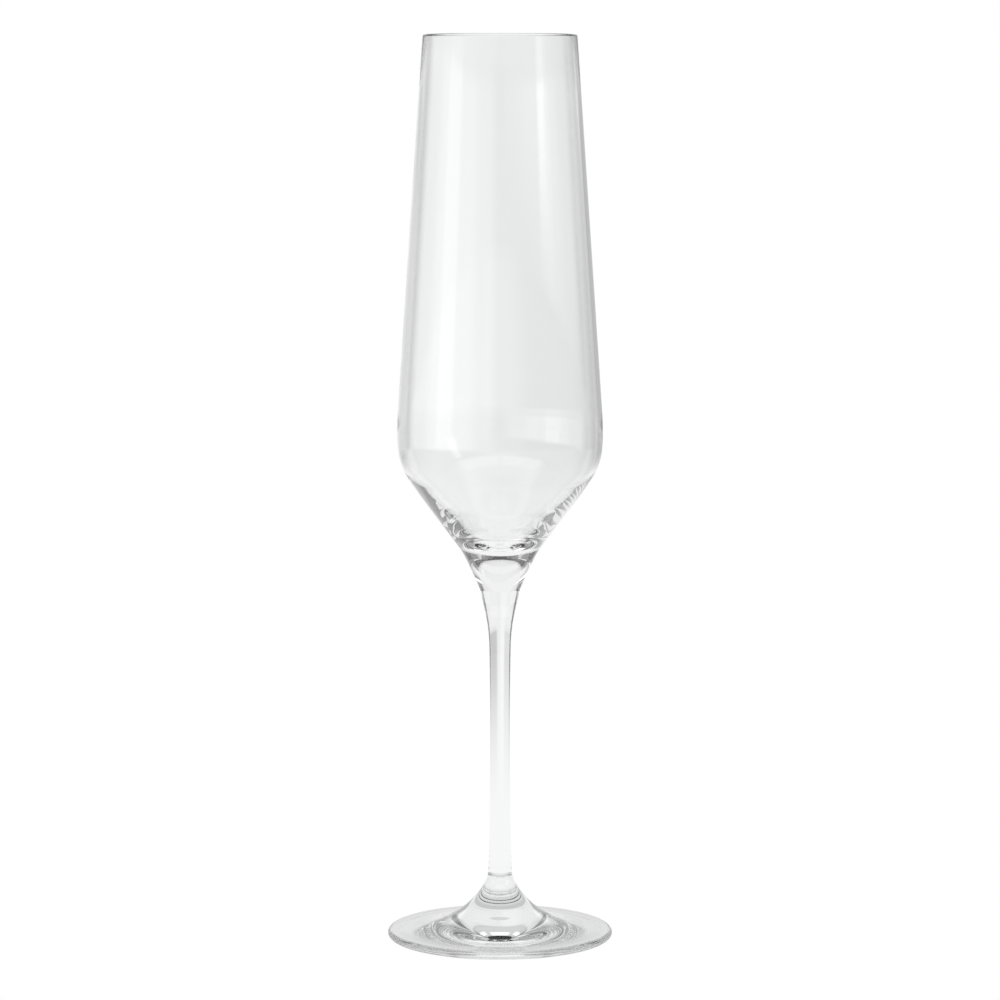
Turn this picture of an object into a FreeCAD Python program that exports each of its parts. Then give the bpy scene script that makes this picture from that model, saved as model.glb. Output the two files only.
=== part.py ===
import FreeCAD, Part
import math
import os

# Champagne flute in clear glass, millimetres, +Z up, standing on the z = 0 plane.
# Three pieces, fused face to face at two welds: a blown bowl, a drawn stem and
# a pressed foot. Every piece is turned about the Z axis, so each outline below
# is given as (radius, height).

HEIGHT = 250.0

# bowl
RIM_R = 21.1            # outer radius at the rim
RIM_WALL = 0.95         # wall at the fire-polished rim
WALL = 1.15             # wall where the tall sides reach the shoulder
SHOULDER = (28.1, 146.6)        # end of the straight tall side
BELLY = (28.27, 139.7)          # widest point, outside
BELLY_IN = (27.02, 140.9)       # widest point, inside
CONE_TOP = (20.72, 122.0)       # lower cone, outside
CONE_FOOT = (11.5, 109.6)
CONE_IN = 37.8                  # slope of the upper inner cone, degrees from upright
TURN_IN = (20.2, 123.8)         # where the inner cone grows flatter
BASE_LOW = (11.0, 114.2)        # start of the round inner bottom

# stem
WELD_TOP = (5.52, 97.6)         # bowl to stem
KNEE = (3.01, 82.1)             # end of the drawn-out cone
WAIST = (2.76, 57.0)            # thinnest point
WELD_FOOT = (3.42, 17.4)        # stem to foot

# foot
BELL = (13.23, 6.13)            # middle of the bell
EDGE_TOP = (30.1, 2.25)
EDGE_LOW = (29.8, 0.0)
RING_IN = 28.3                  # the foot touches the table between here and EDGE_LOW
HOLLOW = (24.0, 0.55), (14.0, 0.75)     # these shape the shallow hollow underneath
NUB_Z = 0.1                     # the middle of the underside, just clear of the table


def at(p):
    return FreeCAD.Vector(p[0], 0, p[1])


def step(p, degrees, length):
    """The point a length away, the heading measured from +Z towards +R."""
    a = math.radians(degrees)
    return (p[0] + length * math.sin(a), p[1] + length * math.cos(a))


def heading(a, b):
    return math.degrees(math.atan2(b[0] - a[0], b[1] - a[1]))


def line(a, b):
    return Part.makeLine(at(a), at(b))


def curve(*points):
    c = Part.BezierCurve()
    c.setPoles([at(p) for p in points])
    return c.toShape()


def arc(a, middle, b):
    return Part.Arc(at(a), at(middle), at(b)).toShape()


def turn(edges):
    """Turns a closed outline about the Z axis into one solid."""
    face = Part.Face(Part.Wire(edges))
    solid = face.revolve(FreeCAD.Vector(0, 0, 0), FreeCAD.Vector(0, 0, 1), 360)
    if solid.Volume < 0:
        solid.reverse()
    return solid


def rim(outer, inner, side_out, side_in):
    """The fire-polished lip: a half round between the two sides."""
    reach = (HEIGHT - outer[1]) / 0.75
    return curve(outer, step(outer, side_out, reach), step(inner, side_in, reach), inner)


def bowl():
    lip_z = HEIGHT - RIM_WALL / 2
    lip_out = (RIM_R, lip_z)
    lip_in = (RIM_R - RIM_WALL, lip_z)
    shoulder_in = (SHOULDER[0] - WALL, SHOULDER[1])
    side = heading(SHOULDER, lip_out)
    side_in = heading(shoulder_in, lip_in)
    cone = heading(CONE_FOOT, CONE_TOP)

    # two inner cones, blended into each other, run tangent into a round bottom
    base_in = heading(BASE_LOW, TURN_IN)
    cone_low_in = step(TURN_IN, CONE_IN, 5.0)
    base_top = step(TURN_IN, base_in, -5.0)
    sweep = math.radians(90 - base_in)
    base_r = BASE_LOW[0] / math.sin(sweep)
    centre_z = BASE_LOW[1] + base_r * math.cos(sweep)
    base_mid = (base_r * math.sin(sweep / 2), centre_z - base_r * math.cos(sweep / 2))
    base_z = centre_z - base_r

    return turn([
        line((0, WELD_TOP[1]), WELD_TOP),
        curve(WELD_TOP, step(WELD_TOP, 24.2, 3.73), step(CONE_FOOT, cone, -3.68), CONE_FOOT),
        line(CONE_FOOT, CONE_TOP),
        curve(CONE_TOP, step(CONE_TOP, cone, 9.95), step(BELLY, 0, -7.06), BELLY),
        curve(BELLY, step(BELLY, 0, 2.5), step(SHOULDER, side, -2.5), SHOULDER),
        line(SHOULDER, lip_out),
        rim(lip_out, lip_in, side, side_in),
        line(lip_in, shoulder_in),
        curve(shoulder_in, step(shoulder_in, side_in, -2.2), step(BELLY_IN, 0, 2.2), BELLY_IN),
        curve(BELLY_IN, step(BELLY_IN, 0, -5.4), step(cone_low_in, CONE_IN, 5.6), cone_low_in),
        curve(cone_low_in, step(cone_low_in, CONE_IN, -3.1), step(base_top, base_in, 3.1), base_top),
        line(base_top, BASE_LOW),
        arc(BASE_LOW, base_mid, (0, base_z)),
        line((0, base_z), (0, WELD_TOP[1])),
    ])


def stem():
    return turn([
        line((0, WELD_FOOT[1]), WELD_FOOT),
        curve(WELD_FOOT, step(WELD_FOOT, -5.5, 6.0), step(WAIST, 0, -18.0), WAIST),
        curve(WAIST, step(WAIST, 0, 8.4), step(KNEE, 1.1, -8.3), KNEE),
        curve(KNEE, step(KNEE, 1.1, 5.5), step(WELD_TOP, 12.9, -5.9), WELD_TOP),
        line(WELD_TOP, (0, WELD_TOP[1])),
        line((0, WELD_TOP[1]), (0, WELD_FOOT[1])),
    ])


def foot():
    return turn([
        line((0, WELD_FOOT[1]), WELD_FOOT),
        curve(WELD_FOOT, step(WELD_FOOT, 165, 4.85), step(BELL, 118.5, -4.46), BELL),
        curve(BELL, step(BELL, 118.5, 4.73), step(EDGE_TOP, 91, -9.6), EDGE_TOP),
        curve(EDGE_TOP, step(EDGE_TOP, 91, 1.55), step(EDGE_LOW, 90, 1.8), EDGE_LOW),
        line(EDGE_LOW, (RING_IN, 0)),
        curve((RING_IN, 0), *HOLLOW, (0, NUB_Z)),
        line((0, NUB_Z), (0, WELD_FOOT[1])),
    ])


os.makedirs("parts", exist_ok=True)
bowl().exportStep("parts/bowl.step")
stem().exportStep("parts/stem.step")
foot().exportStep("parts/foot.step")
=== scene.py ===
import math

import bpy
import numpy as np
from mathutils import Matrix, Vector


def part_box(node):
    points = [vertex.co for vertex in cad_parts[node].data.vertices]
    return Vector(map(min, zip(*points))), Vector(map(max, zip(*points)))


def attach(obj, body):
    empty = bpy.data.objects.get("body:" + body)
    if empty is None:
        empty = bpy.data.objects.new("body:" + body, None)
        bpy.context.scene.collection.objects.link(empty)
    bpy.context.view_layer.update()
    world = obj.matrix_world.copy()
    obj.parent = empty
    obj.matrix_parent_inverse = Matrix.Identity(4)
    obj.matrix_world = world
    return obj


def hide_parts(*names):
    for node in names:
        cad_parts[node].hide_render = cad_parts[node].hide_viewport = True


# Clear glass champagne flute: a blown bowl, a drawn stem and a pressed foot, fused
# at two welds. Outlines are (radius, height) in millimetres, turned about Z.

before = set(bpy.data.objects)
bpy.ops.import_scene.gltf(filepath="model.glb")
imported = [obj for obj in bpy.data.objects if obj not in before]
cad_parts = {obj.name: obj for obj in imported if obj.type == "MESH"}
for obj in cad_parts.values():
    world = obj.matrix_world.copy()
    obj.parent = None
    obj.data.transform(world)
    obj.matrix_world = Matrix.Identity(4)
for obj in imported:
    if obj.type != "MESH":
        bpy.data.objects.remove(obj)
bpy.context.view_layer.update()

MM = 0.001
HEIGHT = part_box("bowl")[1][2] / MM
BELLY_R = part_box("bowl")[1][0] / MM
UPPER_WELD = (5.52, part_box("stem")[1][2] / MM)
LOWER_WELD = (3.42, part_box("stem")[0][2] / MM)
RIM_R, RIM_WALL = 21.1, 0.95
SEGMENTS = 288          # round each piece

GLASS_IOR = 1.52
LIGHT_BOUNCES = 40      # enough for light that runs round inside the wall


# ---------------------------------------------------------------- outlines

def step(point, degrees, length):
    """The point a length away, the heading measured from up towards outward."""
    a = math.radians(degrees)
    return (point[0] + length * math.sin(a), point[1] + length * math.cos(a))


def heading(a, b):
    return math.degrees(math.atan2(b[0] - a[0], b[1] - a[1]))


def bend(a, b, c, d, count):
    """A smooth curve from a to d, drawn towards b and then c on the way."""
    t = np.linspace(0, 1, count)[:, None]
    a, b, c, d = (np.array(p, float) for p in (a, b, c, d))
    return (1 - t) ** 3 * a + 3 * (1 - t) ** 2 * t * b + 3 * (1 - t) * t * t * c + t ** 3 * d


def run(a, b, count):
    t = np.linspace(0, 1, count)[:, None]
    return (1 - t) * np.array(a, float) + t * np.array(b, float)


def join(first, *others):
    """One outline from stretches that each start where the last one ends."""
    return np.vstack([first] + [stretch[1:] for stretch in others])


def bowl_outline():
    # outside: throat, cone, shoulder and tall side
    cone_foot, cone_top = (11.5, 109.6), (20.72, 122.0)
    belly, shoulder = (BELLY_R, 139.7), (28.1, 146.6)
    lip_out = (RIM_R, HEIGHT - RIM_WALL / 2)
    cone, side = heading(cone_foot, cone_top), heading(shoulder, lip_out)

    # inside: tall side, shoulder, two cones blended into each other, round bottom
    lip_in = (RIM_R - RIM_WALL, lip_out[1])
    belly_in, shoulder_in = (27.02, 140.9), (26.95, 146.6)
    turn_in, base_low = (20.2, 123.8), (11.0, 114.2)
    side_in, cone_in, base_in = heading(shoulder_in, lip_in), 37.8, heading(base_low, turn_in)
    cone_low_in = step(turn_in, cone_in, 5.0)
    base_top = step(turn_in, base_in, -5.0)
    sweep = math.radians(90 - base_in)
    base_r = base_low[0] / math.sin(sweep)
    turn = np.linspace(sweep, 0, 30)
    base = np.c_[base_r * np.sin(turn), base_low[1] + base_r * (math.cos(sweep) - np.cos(turn))]

    lip = 4 / 3 * RIM_WALL / 2      # draws the lip as a half round
    return join(
        bend(UPPER_WELD, step(UPPER_WELD, 24.2, 3.73), step(cone_foot, cone, -3.68), cone_foot, 30),
        run(cone_foot, cone_top, 4),
        bend(cone_top, step(cone_top, cone, 9.95), step(belly, 0, -7.06), belly, 90),
        bend(belly, step(belly, 0, 2.5), step(shoulder, side, -2.5), shoulder, 8),
        run(shoulder, lip_out, 8),
        bend(lip_out, step(lip_out, side, lip), step(lip_in, side_in, lip), lip_in, 17),
        run(lip_in, shoulder_in, 8),
        bend(shoulder_in, step(shoulder_in, side_in, -2.2), step(belly_in, 0, 2.2), belly_in, 8),
        bend(belly_in, step(belly_in, 0, -5.4), step(cone_low_in, cone_in, 5.6), cone_low_in, 80),
        bend(cone_low_in, step(cone_low_in, cone_in, -3.1), step(base_top, base_in, 3.1), base_top, 30),
        run(base_top, base_low, 4),
        base)


def stem_outline():
    waist, knee = (2.76, 57.0), (3.01, 82.1)
    return join(
        bend(LOWER_WELD, step(LOWER_WELD, -5.5, 6.0), step(waist, 0, -18.0), waist, 60),
        bend(waist, step(waist, 0, 8.4), step(knee, 1.1, -8.3), knee, 40),
        bend(knee, step(knee, 1.1, 5.5), step(UPPER_WELD, 12.9, -5.9), UPPER_WELD, 50))


def foot_outline():
    """From the middle of the shallow hollow underneath, out to the edge and up the bell."""
    bell = (13.23, 6.13)
    edge_top, edge_low, ring_in = (30.1, 2.25), (29.8, 0.0), (28.3, 0.0)
    downwards = join(
        bend(LOWER_WELD, step(LOWER_WELD, 165, 4.85), step(bell, 118.5, -4.46), bell, 70),
        bend(bell, step(bell, 118.5, 4.73), step(edge_top, 91, -9.6), edge_top, 60),
        bend(edge_top, step(edge_top, 91, 1.55), step(edge_low, 90, 1.8), edge_low, 24),
        run(edge_low, ring_in, 4),
        bend(ring_in, (24.0, 0.55), (14.0, 0.75), (0, 0.1), 60))
    return downwards[::-1]


# ---------------------------------------------------------------- pieces

def turned(name, rows, cad_node, materials, weld_ends):
    """Turns an outline about Z. Rows on the axis become one point. weld_ends names the
    ends, "first" or "last", that are closed by a disc where another piece is fused on."""
    verts, rings, faces = [], [], []
    angles = np.linspace(0, 2 * math.pi, SEGMENTS, endpoint=False)
    for r, z in rows:
        if r < 1e-6:
            rings.append([len(verts)])
            verts.append((0, 0, z * MM))
        else:
            rings.append(list(range(len(verts), len(verts) + SEGMENTS)))
            verts += [(r * MM * math.cos(a), r * MM * math.sin(a), z * MM) for a in angles]
    round_pairs = [(i, (i + 1) % SEGMENTS) for i in range(SEGMENTS)]
    for low, high in zip(rings, rings[1:]):
        for i, j in round_pairs:
            if len(high) == 1:
                faces.append((low[i], low[j], high[0]))
            elif len(low) == 1:
                faces.append((low[0], high[j], high[i]))
            else:
                faces.append((low[i], low[j], high[j], high[i]))

    weld_from = len(faces)
    weld_rings = [rings[0] if end == "first" else rings[-1] for end in weld_ends]
    for end, ring in zip(weld_ends, weld_rings):
        hub = len(verts)
        verts.append((0, 0, verts[ring[0]][2]))
        for i, j in round_pairs:
            faces.append((ring[j], ring[i], hub) if end == "first" else (ring[i], ring[j], hub))

    mesh = bpy.data.meshes.new(name)
    mesh.from_pydata(verts, [], faces)
    for m in materials:
        mesh.materials.append(m)
    for k, face in enumerate(mesh.polygons):
        face.use_smooth = k < weld_from
        face.material_index = 0 if k < weld_from else 1
    for ring in map(set, weld_rings):
        for edge in mesh.edges:
            if ring.issuperset(edge.vertices):
                edge.use_edge_sharp = True
    piece = bpy.data.objects.new(name, mesh)
    bpy.context.collection.objects.link(piece)
    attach(piece, "root")
    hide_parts(cad_node)
    return piece


# ---------------------------------------------------------------- glass

def wire(tree):
    """Short ways to lay out nodes: a new node, a link, a math node, a smooth fade from one
    value to another, and a blend of two values."""
    node, link = tree.nodes.new, tree.links.new

    def put(value, socket):
        if isinstance(value, (int, float)):
            socket.default_value = value
        else:
            link(value, socket)

    def calc(operation, *values):
        n = node("ShaderNodeMath")
        n.operation = operation
        for value, socket in zip(values, n.inputs):
            put(value, socket)
        return n.outputs[0]

    def fade(value, start, end, before=0.0, after=1.0):
        n = node("ShaderNodeMapRange")
        n.interpolation_type = "SMOOTHSTEP"
        for label, setting in (("Value", value), ("From Min", start), ("From Max", end),
                               ("To Min", before), ("To Max", after)):
            put(setting, n.inputs[label])
        return n.outputs["Result"]

    def blend(share, a, b):
        n = node("ShaderNodeMix")
        for label, setting in (("Factor", share), ("A", a), ("B", b)):
            put(setting, n.inputs[label])
        return n.outputs["Result"]

    return node, link, calc, fade, blend


def glass_flow():
    """Long soft waves left in the glass by blowing, drawing or pressing, and the
    faintest grey where the melt ran thicker."""
    group = bpy.data.node_groups.new("glass_flow", "ShaderNodeTree")
    for name, low, high, start in (("Wave Size", 1, 500, 40), ("Upright Stretch", 0.01, 10, 1),
                                   ("Ripple Size", 1, 2000, 300), ("Ripple Share", 0, 1, 0.1)):
        socket = group.interface.new_socket(name, in_out="INPUT", socket_type="NodeSocketFloat")
        socket.min_value, socket.max_value, socket.default_value = low, high, start
    for name, start in (("Thin Tint", (1.0, 1.0, 1.0, 1)), ("Thick Tint", (0.97, 0.985, 0.985, 1))):
        socket = group.interface.new_socket(name, in_out="INPUT", socket_type="NodeSocketColor")
        socket.default_value = start
    group.interface.new_socket("Height", in_out="OUTPUT", socket_type="NodeSocketFloat")
    group.interface.new_socket("Tint", in_out="OUTPUT", socket_type="NodeSocketColor")
    node, link, calc, _, _ = wire(group)
    given, result = node("NodeGroupInput"), node("NodeGroupOutput")

    place, stretch = node("ShaderNodeTexCoord"), node("ShaderNodeCombineXYZ")
    squeeze = node("ShaderNodeVectorMath")
    squeeze.operation = "MULTIPLY"
    stretch.inputs[0].default_value = stretch.inputs[1].default_value = 1.0
    link(given.outputs["Upright Stretch"], stretch.inputs[2])
    link(place.outputs["Object"], squeeze.inputs[0])
    link(stretch.outputs[0], squeeze.inputs[1])
    waves, ripples = node("ShaderNodeTexNoise"), node("ShaderNodeTexNoise")
    for texture, size in ((waves, "Wave Size"), (ripples, "Ripple Size")):
        texture.inputs["Detail"].default_value = 1.0
        link(squeeze.outputs[0], texture.inputs["Vector"])
        link(given.outputs[size], texture.inputs["Scale"])
    fine = calc("MULTIPLY", ripples.outputs["Fac"], given.outputs["Ripple Share"])
    link(calc("ADD", waves.outputs["Fac"], fine), result.inputs["Height"])

    tint = node("ShaderNodeMix")
    tint.data_type = "RGBA"
    link(waves.outputs["Fac"], tint.inputs["Factor"])
    link(given.outputs["Thin Tint"], tint.inputs["A"])
    link(given.outputs["Thick Tint"], tint.inputs["B"])
    link(tint.outputs["Result"], result.inputs["Tint"])
    return group


def new_material(name):
    """A material and its one shader."""
    m = bpy.data.materials.new(name)
    m.use_nodes = True
    return m, m.node_tree.nodes["Principled BSDF"]


def glass(name, flow, depth, **values):
    """Clear glass. depth is the height of its waves in metres."""
    m, shader = new_material(name)
    node, link = wire(m.node_tree)[:2]
    shader.inputs["Roughness"].default_value = 0.0
    shader.inputs["IOR"].default_value = GLASS_IOR
    shader.inputs["Transmission Weight"].default_value = 1.0
    waves, bump = node("ShaderNodeGroup"), node("ShaderNodeBump")
    waves.node_tree = flow
    for label, value in values.items():
        waves.inputs[label.replace("_", " ").title()].default_value = value
    bump.inputs["Distance"].default_value = depth
    link(waves.outputs["Height"], bump.inputs["Height"])
    link(bump.outputs["Normal"], shader.inputs["Normal"])
    link(waves.outputs["Tint"], shader.inputs["Base Color"])
    return m


flow = glass_flow()
blown = glass("blown_bowl_glass", flow, 0.00002, wave_size=45, upright_stretch=0.35,
              ripple_size=260, ripple_share=0.06, thick_tint=(0.985, 0.992, 0.992, 1))
drawn = glass("drawn_stem_glass", flow, 0.00001, wave_size=160, upright_stretch=0.12,
              ripple_size=700, ripple_share=0.1, thick_tint=(0.98, 0.99, 0.99, 1))
pressed = glass("pressed_foot_glass", flow, 0.00003, wave_size=70, upright_stretch=1.0,
                ripple_size=400, ripple_share=0.08, thick_tint=(0.97, 0.985, 0.985, 1))

# the two welds can't be seen inside the finished glass
fused, fused_shader = new_material("fused_weld")
fused_shader.inputs["Alpha"].default_value = 0.0

turned("bowl_blown", bowl_outline(), "bowl", [blown, fused], ["first"])
turned("stem_drawn", stem_outline(), "stem", [drawn, fused], ["first", "last"])
turned("foot_pressed", foot_outline(), "foot", [pressed, fused], ["last"])


# ---------------------------------------------------------------- studio

# Light by direction, in degrees. Azimuth 0 is behind the glass, positive to the right.
# Each entry is (azimuths, softness, elevations, softness, brightness), and covers the
# ones above it.
WALL_LIGHT = 0.88
WALLS = (
    (-44, 44, 4, 0, 16, 2, 0.9),             # white backdrop behind the glass
    (-48, -12, 8, -12, -1.5, 3.5, 0.75),     # its lower part, darker to the sides
    (10, 48, 6, -12, -1.5, 3.5, 0.6),
    (-8, 6, 8, -12, 16, 3, 0.87),
    (-16, -1, 4, -12, 16, 3, 0.94),
    (-74, -51, 4, -12, 16, 4, 0.1),          # dark gaps that draw the outlines
    (51, 72, 4, -12, 16, 4, 0.2),
    (-126, -110, 4, -12, 16, 4, 0.55),
    (108, 124, 4, -12, 16, 4, 0.55),
    (-168, -150, 4, -12, 16, 4, 0.55),
    (148, 166, 4, -12, 16, 4, 0.55),
)
ROOM_LIGHT = 0.3
SOFT_BOXES = (
    (-180, 180, 0, -95, -6, 6, 0.5),         # floor beyond the table
    (-44, 44, 4, 0, 16, 2, 0.9),             # white backdrop behind the glass
    (-48, -12, 8, -12, -0.3, 1.2, 0.7),      # its lower part, darker to the sides
    (10, 48, 6, -12, -0.3, 1.2, 0.5),
    (-8, 6, 8, -95, 16, 3, 0.87),
    (-16, -1, 4, -95, 16, 3, 0.94),
    (-74, -47, 3, -12, 16, 4, 0.1),          # dark gap, left
    (47, 152, 4, -12, 16, 4, 0.2),           # dark side, right
    (-172, -60, 8, -10, 7, 2, 1.0),          # long soft box, left, brighter in its middle
    (-150, -90, 10, -10, 7, 2, 1.6),
    (-124, -103, 1.5, -10, 7, 2, 2.2),
    (115, 125, 2, 4, 40, 1.5, 1.5),          # strip light, right
    (-30, 30, 4, 16, 36, 1.5, 0.7),          # top of the backdrop
    (-32, -17, 3, 24, 31, 1.5, 1.25),        # bright lamps along its top edge
    (17, 32, 3, 24, 31, 1.5, 1.25),
    (-11, 11, 3, 27, 36, 1, 1.25),
    (-180, 180, 0, 36.5, 95, 1, 0.02),       # dark ceiling
    (-180, -112, 6, 40, 58, 3, 1.0),         # overhead light on the near side
    (112, 180, 6, 40, 58, 3, 1.0),
)
OFTEN_MIRRORED_LIMIT = 0.85     # brightest light that is left after three mirrorings

TABLE_R = 3.0                   # metres, like every length on the table
MIRRORED_TABLE_R = 0.9          # where mirrored light finds the table's edge
# the table's painted glow, and its painted shade towards the sides
TABLE_LIGHT, TABLE_SIDES_PAINTED_SHADE = 0.94, 0.55
PAINTED_SHADE_UNDER_FOOT = 0.68               # painted shadow: share of the table's painted glow left in the ring under the foot


def light_round(name, light, entries):
    group = bpy.data.node_groups.new(name, "ShaderNodeTree")
    for direction in ("Azimuth", "Elevation"):
        group.interface.new_socket(direction, in_out="INPUT", socket_type="NodeSocketFloat")
    group.interface.new_socket("Light", in_out="OUTPUT", socket_type="NodeSocketFloat")
    node, link, calc, fade, blend = wire(group)
    given, result = node("NodeGroupInput"), node("NodeGroupOutput")

    def between(value, low, high, soft):
        return calc("MULTIPLY", fade(value, low - soft, low + soft),
                    fade(value, high + soft, high - soft))

    for az_from, az_to, az_soft, el_from, el_to, el_soft, brightness in entries:
        mask = between(given.outputs["Elevation"], el_from, el_to, el_soft)
        if az_to - az_from < 360:
            mask = calc("MULTIPLY", mask,
                        between(given.outputs["Azimuth"], az_from, az_to, az_soft))
        light = blend(mask, light, brightness)
    link(light, result.inputs["Light"])
    return group


def degrees(calc, radians):
    return calc("MULTIPLY", radians, 180 / math.pi)


def studio(walls, boxes):
    """Light seen straight through the glass comes from the pale walls, and light that
    has been mirrored anywhere in it comes from the soft boxes."""
    world = bpy.data.worlds.new("studio")
    bpy.context.scene.world = world
    world.use_nodes = True
    tree = world.node_tree
    tree.nodes.clear()
    node, link, calc, _, blend = wire(tree)
    coord, axes = node("ShaderNodeTexCoord"), node("ShaderNodeSeparateXYZ")
    link(coord.outputs["Generated"], axes.inputs[0])
    azimuth = degrees(calc, calc("ARCTAN2", axes.outputs[0], axes.outputs[1]))
    elevation = degrees(calc, calc("ARCSINE", axes.outputs[2]))

    def light(group):
        n = node("ShaderNodeGroup")
        n.node_tree = group
        link(azimuth, n.inputs["Azimuth"])
        link(elevation, n.inputs["Elevation"])
        return n.outputs["Light"]

    rays = node("ShaderNodeLightPath")
    times = rays.outputs["Glossy Depth"]
    # well above every soft box for one or two mirrorings, then down to the limit
    limit = calc("MAXIMUM", OFTEN_MIRRORED_LIMIT,
                 calc("SUBTRACT", 8.0, calc("MULTIPLY", times, 2.4)))
    around = blend(calc("MINIMUM", times, 1.0), light(walls), calc("MINIMUM", light(boxes), limit))

    seen, lit = node("ShaderNodeBackground"), node("ShaderNodeBackground")
    mix, out = node("ShaderNodeMixShader"), node("ShaderNodeOutputWorld")
    seen.inputs["Color"].default_value = (1, 1, 1, 1)
    link(around, lit.inputs["Color"])
    link(rays.outputs["Is Camera Ray"], mix.inputs["Fac"])
    link(lit.outputs[0], mix.inputs[1])
    link(seen.outputs[0], mix.inputs[2])
    link(mix.outputs[0], out.inputs["Surface"])


def table(walls):
    """A white table whose glow is painted light: white to the camera, with a painted shadow
    ring under the foot. Seen straight through the glass it takes the light of the walls further
    out. Mirrored light finds it with painted shade darker to the sides, and ends at a smaller edge."""
    mesh = bpy.data.meshes.new("table")
    corners = 96
    angles = np.linspace(0, 2 * math.pi, corners, endpoint=False)
    just_under = -0.02 * MM
    verts = [(TABLE_R * math.cos(a), TABLE_R * math.sin(a), just_under) for a in angles]
    mesh.from_pydata(verts, [], [tuple(range(corners))])
    m, shader = new_material("table_white_painted_shade")
    shader.inputs["Base Color"].default_value = (0, 0, 0, 1)
    shader.inputs["Roughness"].default_value = 1.0
    shader.inputs["Specular IOR Level"].default_value = 0.0
    shader.inputs["Emission Strength"].default_value = 1.0

    node, link, calc, fade, blend = wire(m.node_tree)
    place, axes = node("ShaderNodeNewGeometry"), node("ShaderNodeSeparateXYZ")
    link(place.outputs["Position"], axes.inputs[0])
    x, y = axes.outputs[0], axes.outputs[1]
    reach = calc("SQRT", calc("ADD", calc("MULTIPLY", x, x), calc("MULTIPLY", y, y)))
    # painted shadow: the table's glow drops to a ring under the foot's edge, then back to full
    shade = calc("MAXIMUM", fade(reach, 0.01, 0.02, 1.0, PAINTED_SHADE_UNDER_FOOT),
                 fade(reach, 0.028, 0.045, PAINTED_SHADE_UNDER_FOOT, 1.0))

    wall = node("ShaderNodeGroup")
    wall.node_tree = walls
    link(degrees(calc, calc("ARCTAN2", x, y)), wall.inputs["Azimuth"])
    wall.inputs["Elevation"].default_value = -5.0
    straight = blend(fade(reach, 0.15, 0.6), calc("MULTIPLY", shade, TABLE_LIGHT),
                     wall.outputs["Light"])

    # painted shade: mirrored light finds the table's glow darker to the sides and a little darker
    # towards its edge
    sides = fade(calc("ABSOLUTE", x), 0.12, 0.45, TABLE_LIGHT, TABLE_SIDES_PAINTED_SHADE)
    outer = fade(reach, 0.3, MIRRORED_TABLE_R, 1.0, 0.94)
    mirrored = calc("MULTIPLY", calc("MULTIPLY", shade, sides), outer)

    rays = node("ShaderNodeLightPath")
    is_mirrored = calc("MINIMUM", rays.outputs["Glossy Depth"], 1.0)
    link(calc("MAXIMUM", rays.outputs["Is Camera Ray"], blend(is_mirrored, straight, mirrored)),
         shader.inputs["Emission Color"])
    past_edge = calc("MULTIPLY", is_mirrored, calc("GREATER_THAN", reach, MIRRORED_TABLE_R))
    link(calc("SUBTRACT", 1.0, past_edge), shader.inputs["Alpha"])
    mesh.materials.append(m)
    floor = bpy.data.objects.new("table", mesh)
    bpy.context.collection.objects.link(floor)


pale_walls = light_round("pale_walls", WALL_LIGHT, WALLS)
studio(pale_walls, light_round("soft_boxes", ROOM_LIGHT, SOFT_BOXES))
table(pale_walls)

# a long lens, a little above the rim, looking slightly down at the middle of the glass
cam_data = bpy.data.cameras.new("camera")
cam_data.lens = 156.6
cam_data.sensor_width = 36.0
cam = bpy.data.objects.new("camera", cam_data)
cam.location = (0, -1.1897, 0.2679)
cam.rotation_euler = (math.radians(90 - 6.974), 0, 0)
bpy.context.collection.objects.link(cam)
scene = bpy.context.scene
scene.camera = cam
scene.view_settings.view_transform = "Standard"
scene.cycles.max_bounces = LIGHT_BOUNCES
scene.cycles.transmission_bounces = LIGHT_BOUNCES
scene.cycles.glossy_bounces = LIGHT_BOUNCES
scene.cycles.transparent_max_bounces = LIGHT_BOUNCES
